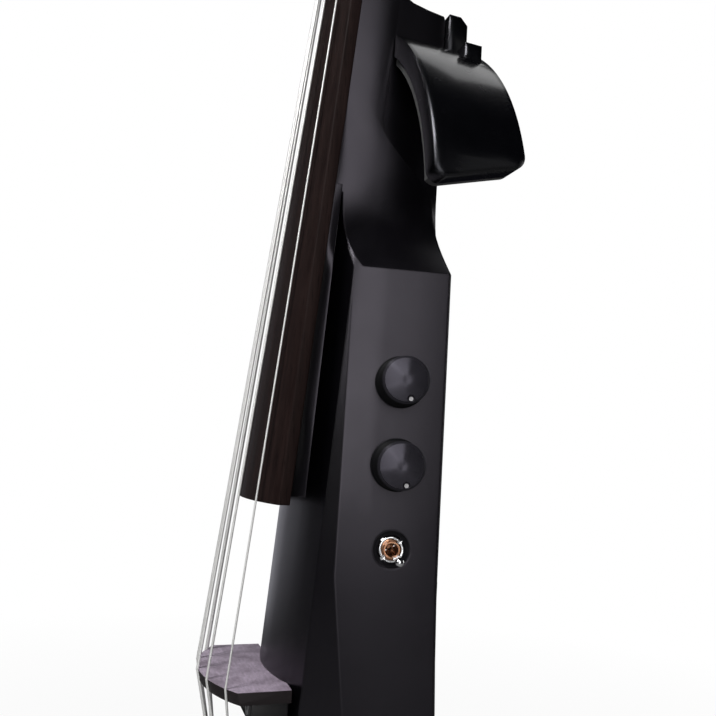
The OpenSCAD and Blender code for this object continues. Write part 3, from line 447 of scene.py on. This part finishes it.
# the record's material slots. Each row: name, dark tone, light tone, roughness range, and then
# coat, index of refraction and specular level for an ebony; grain, bump and coat for a plastic;
# stretch of the lines and grey of the worn edges for a metal
BOARD_TONES = (0.0085, 0.0044, 0.0041), (0.023, 0.013, 0.0118)
NUT_TONES = (0.007, 0.0048, 0.0042), (0.016, 0.011, 0.0095)
EBONIES = (
    ("ebony_board", *BOARD_TONES, (0.52, 0.64), 0.0, 1.25, 0.25),
    ("ebony_nut", *NUT_TONES, (0.3, 0.42), 0.2, 1.38, 0.5),
)
PLASTICS = (
    ("black_plastic", (0.008, 0.008, 0.009), (0.014, 0.0135, 0.0145), (0.4, 0.52)),
    ("button_black", (0.006, 0.006, 0.007), (0.012, 0.012, 0.013), (0.2, 0.32), 700.0, 0.06, 0.4),
    ("dot_white", (0.42, 0.41, 0.42), (0.52, 0.51, 0.52), (0.4, 0.55)),
)
METALS = (
    ("brass", (0.55, 0.36, 0.14), (0.75, 0.53, 0.22), (0.3, 0.45)),
    ("black_metal", (0.012, 0.012, 0.013), (0.03, 0.03, 0.032), (0.36, 0.5), 0.1, 0.2),
    ("screw_steel", (0.33, 0.33, 0.34), (0.5, 0.5, 0.51), (0.25, 0.4)),
    ("pot_metal", (0.42, 0.41, 0.38), (0.58, 0.57, 0.53), (0.35, 0.5)),
    ("switch_brass", (0.42, 0.2, 0.11), (0.66, 0.36, 0.22), (0.3, 0.45)),
    ("chrome_parts", (0.72, 0.72, 0.73), (0.86, 0.86, 0.87), (0.08, 0.16)),
    ("endpin_steel", (0.02, 0.021, 0.024), (0.045, 0.046, 0.05), (0.28, 0.42), 0.05, 0.3),
    ("post_steel", (0.55, 0.55, 0.56), (0.74, 0.74, 0.75), (0.14, 0.26)),
    ("machine_black", (0.013, 0.013, 0.014), (0.032, 0.032, 0.034), (0.3, 0.42), 1.0, 0.25),
)
RUBBERS = (
    ("liner_rubber", (0.03, 0.03, 0.032), (0.05, 0.05, 0.052)),
    ("tip_rubber", (0.012, 0.012, 0.012), (0.02, 0.02, 0.02)),
)
SLOTS = {
    "satin_lacquer": satin_lacquer(),
    "gloss_lacquer": gloss_lacquer(),
    "ebony_bridge": bridge_wood(),
    "knob_black": turned_knob("knob_black", VOLUME_Z),
    "string_steel": string_wrap(),
}
for make, rows in ((ebony, EBONIES), (plastic, PLASTICS), (metal, METALS), (rubber, RUBBERS)):
    for row in rows:
        SLOTS[row[0]] = make(*row)
# the tone knob has the same finish, turned round its own axis
TONE_KNOB = turned_knob("knob_black_tone", TONE_Z)

# ---------------------------------------------------------------- rounded edges and smooth shading
WELD_M = 0.000004
BEVEL_FROM_DEG = 38
SMOOTH_DEG, FINE_SMOOTH_DEG = 32, 24
FINE_NODES = ("body", "neck", "bout_wing")

# rounded edges: node -> (width in metres, segments)
ROUND = {
    "bout_wing": (0.001, 3),
    "bout_bracket": (0.001, 3),
    "bout_liner": (0.0007, 3),
    "bridge": (0.0006, 3),
    "bridge_base": (0.0006, 3),
    "fingerboard": (0.0005, 3),
    "board_support": (0.0004, 2),
    "tail_anchor": (0.0009, 3),
    "back_cover": (0.0005, 3),
    "nut": (0.0004, 2),
    "tuner_housings": (0.0007, 3),
    "stand_plate": (0.0004, 2),
    "switch_nut": (0.00015, 2),
    **{f"tuner_button_{k}": (0.0011, 4) for k in range(1, 6)},
}


def smooth_group(degrees):
    """Welds the facets' doubled points, then shades smooth wherever faces meet below the angle."""
    group = bpy.data.node_groups.new(f"smooth_{degrees}", "GeometryNodeTree")
    for way in ("INPUT", "OUTPUT"):
        group.interface.new_socket("Geometry", in_out=way, socket_type="NodeSocketGeometry")
    start = group.nodes.new("NodeGroupInput")
    end = group.nodes.new("NodeGroupOutput")
    plain = group.nodes.new("GeometryNodeRemoveAttribute")
    plain.inputs["Name"].default_value = "custom_normal"
    weld = group.nodes.new("GeometryNodeMergeByDistance")
    weld.inputs["Distance"].default_value = WELD_M
    faces = group.nodes.new("GeometryNodeSetShadeSmooth")
    faces.domain = "FACE"
    faces.inputs["Shade Smooth"].default_value = True
    edges = group.nodes.new("GeometryNodeSetShadeSmooth")
    edges.domain = "EDGE"
    angle = group.nodes.new("GeometryNodeInputMeshEdgeAngle")
    below = group.nodes.new("FunctionNodeCompare")
    below.data_type = "FLOAT"
    below.operation = "LESS_THAN"
    below.inputs["B"].default_value = math.radians(degrees)
    group.links.new(angle.outputs["Unsigned Angle"], below.inputs["A"])
    group.links.new(below.outputs["Result"], edges.inputs["Shade Smooth"])
    chain = (start, plain, weld, faces, edges, end)
    for source, target in zip(chain, chain[1:]):
        group.links.new(source.outputs[0], target.inputs[0])
    return group


SMOOTH = {degrees: smooth_group(degrees) for degrees in (FINE_SMOOTH_DEG, SMOOTH_DEG)}


def soften(node):
    """Rounds the node's edges where ROUND names it, and gives it smooth shading."""
    modifiers = NODES[node].modifiers
    if node in ROUND:
        weld = modifiers.new("weld", "WELD")
        weld.merge_threshold = WELD_M
        bevel = modifiers.new("edges", "BEVEL")
        bevel.width, bevel.segments = ROUND[node]
        bevel.limit_method = "ANGLE"
        bevel.angle_limit = math.radians(BEVEL_FROM_DEG)
        bevel.miter_outer = "MITER_ARC"
        bevel.use_clamp_overlap = True
    shading = modifiers.new("soft_shading", "NODES")
    shading.node_group = SMOOTH[FINE_SMOOTH_DEG if node in FINE_NODES else SMOOTH_DEG]


def dress(node, slot):
    """Gives a CAD node its slot's material on every face."""
    mesh = NODES[node].data
    mesh.materials.clear()
    mesh.materials.append(TONE_KNOB if node == "tone_knob" else SLOTS[slot])
    for face in mesh.polygons:
        face.material_index = 0


for entry in frame["record"]["subparts"]:
    dress(entry["node"], entry["material_slot"])
    soften(entry["node"])

# ---------------------------------------------------------------- studio
FLOOR_HALF = 1.5
FLOOR_GAP = 0.001
# how white the camera sees the floor: from the first distance in metres to the second
NEAR_M, NEAR_WHITE = 0.6, 0.93
FAR_M, FAR_WHITE = 1.44, 1.0
RAMP_SPAN_M = 4.0


def floor_paint():
    """Matt grey paint that shows the camera a white backdrop, less so near the object.

    Near the object a little of the paint, and so of the object's shadow, comes through.
    """
    m = Mat("floor_paint")
    m.base(m.tones(m.noise(3.0, detail=3.0), 0.3, 0.32))
    m.set(Roughness=0.7)
    white = m.nt.nodes.new("ShaderNodeEmission")
    white.inputs["Strength"].default_value = 1.0
    away = m.times(m.length(m.coord), 1.0 / RAMP_SPAN_M)
    near, far = (NEAR_M / RAMP_SPAN_M, NEAR_WHITE), (FAR_M / RAMP_SPAN_M, FAR_WHITE)
    reach = m.ramp(away, near, far)
    camera_ray = m.nt.nodes.new("ShaderNodeLightPath").outputs["Is Camera Ray"]
    mix = m.nt.nodes.new("ShaderNodeMixShader")
    m.link(m.times(camera_ray, reach), mix.inputs[0])
    m.link(m.bsdf.outputs[0], mix.inputs[1])
    m.link(white.outputs[0], mix.inputs[2])
    m.link(mix.outputs[0], m.out.inputs[0])
    return m.mat


def make_stage():
    """One square of floor just below the object."""
    z = cad_low.z - FLOOR_GAP
    mesh = bpy.data.meshes.new("floor")
    bm = bmesh.new()
    for x in (-FLOOR_HALF, FLOOR_HALF):
        for y in (-FLOOR_HALF, FLOOR_HALF):
            bm.verts.new((x, y, z))
    corners = list(bm.verts)
    bm.faces.new([corners[i] for i in (0, 2, 3, 1)])
    bm.to_mesh(mesh)
    bm.free()
    floor = bpy.data.objects.new("floor", mesh)
    mesh.materials.append(floor_paint())
    scene.collection.objects.link(floor)


make_stage()

# soft boxes: name, place, what it points at, width, height, watts
LAMPS = (
    ("front", (1.27, -0.47, 0.44), (0.03, -0.05, 0.08), 0.9, 1.3, 9.0),
    ("top", (0.42, -0.95, 1.3), (0.0, 0.0, 0.25), 0.35, 0.35, 15.0),
    ("side", (1.05, 0.7, 0.85), (0.0, -0.03, 0.2), 0.5, 0.6, 0.12),
    ("wing_sky", (-0.4, 0.44, 1.3), (0.03, -0.01, 0.23), 0.5, 0.5, 0.5),
    ("back", (-0.1, 1.7, 0.35), (0.0, 0.0, 0.2), 0.7, 1.0, 3.0),
    ("rim", (0.3, -1.45, 0.8), (0.02, -0.04, 0.2), 0.25, 0.7, 2.2),
)


def soft_box(name, at, to, width, height, watts):
    """A rectangular lamp that faces the point it is aimed at."""
    data = bpy.data.lights.new(name, "AREA")
    data.shape = "RECTANGLE"
    data.size = width
    data.size_y = height
    data.energy = watts
    lamp = bpy.data.objects.new(name, data)
    lamp.location = at
    lamp.rotation_mode = "QUATERNION"
    lamp.rotation_quaternion = (Vector(to) - Vector(at)).to_track_quat("-Z", "Y")
    scene.collection.objects.link(lamp)


for lamp in LAMPS:
    soft_box(*lamp)

# for everything but the camera the room is dark, with a lit backdrop in one direction
BACKDROP_TOWARDS = (-0.985, -0.17, 0.0)
ROOM, BACKDROP = (0.004, 0.004, 0.006, 1), (0.62, 0.62, 0.68, 1)
BACKDROP_FROM, BACKDROP_FULL = 0.8, 1.0
WHITE = (1, 1, 1, 1)


def make_world():
    """White for the camera; for everything else a dark room with a lit backdrop."""
    world = bpy.data.worlds.new("studio")
    scene.world = world
    world.use_nodes = True
    nt = world.node_tree
    nt.nodes.clear()
    out = nt.nodes.new("ShaderNodeOutputWorld")
    coord = nt.nodes.new("ShaderNodeTexCoord")
    towards = nt.nodes.new("ShaderNodeVectorMath")
    towards.operation = "DOT_PRODUCT"
    towards.inputs[1].default_value = BACKDROP_TOWARDS
    fade = nt.nodes.new("ShaderNodeValToRGB")
    fade.color_ramp.interpolation = "EASE"
    fade.color_ramp.elements[0].position = BACKDROP_FROM
    fade.color_ramp.elements[0].color = ROOM
    fade.color_ramp.elements[1].position = BACKDROP_FULL
    fade.color_ramp.elements[1].color = BACKDROP
    room = nt.nodes.new("ShaderNodeBackground")
    white = nt.nodes.new("ShaderNodeBackground")
    white.inputs["Color"].default_value = WHITE
    white.inputs["Strength"].default_value = 1.0
    light_path = nt.nodes.new("ShaderNodeLightPath")
    mix = nt.nodes.new("ShaderNodeMixShader")
    nt.links.new(coord.outputs["Generated"], towards.inputs[0])
    nt.links.new(towards.outputs["Value"], fade.inputs["Fac"])
    nt.links.new(fade.outputs["Color"], room.inputs["Color"])
    nt.links.new(light_path.outputs["Is Camera Ray"], mix.inputs[0])
    nt.links.new(room.outputs[0], mix.inputs[1])
    nt.links.new(white.outputs[0], mix.inputs[2])
    nt.links.new(mix.outputs[0], out.inputs[0])


make_world()
scene.view_settings.view_transform = "Standard"
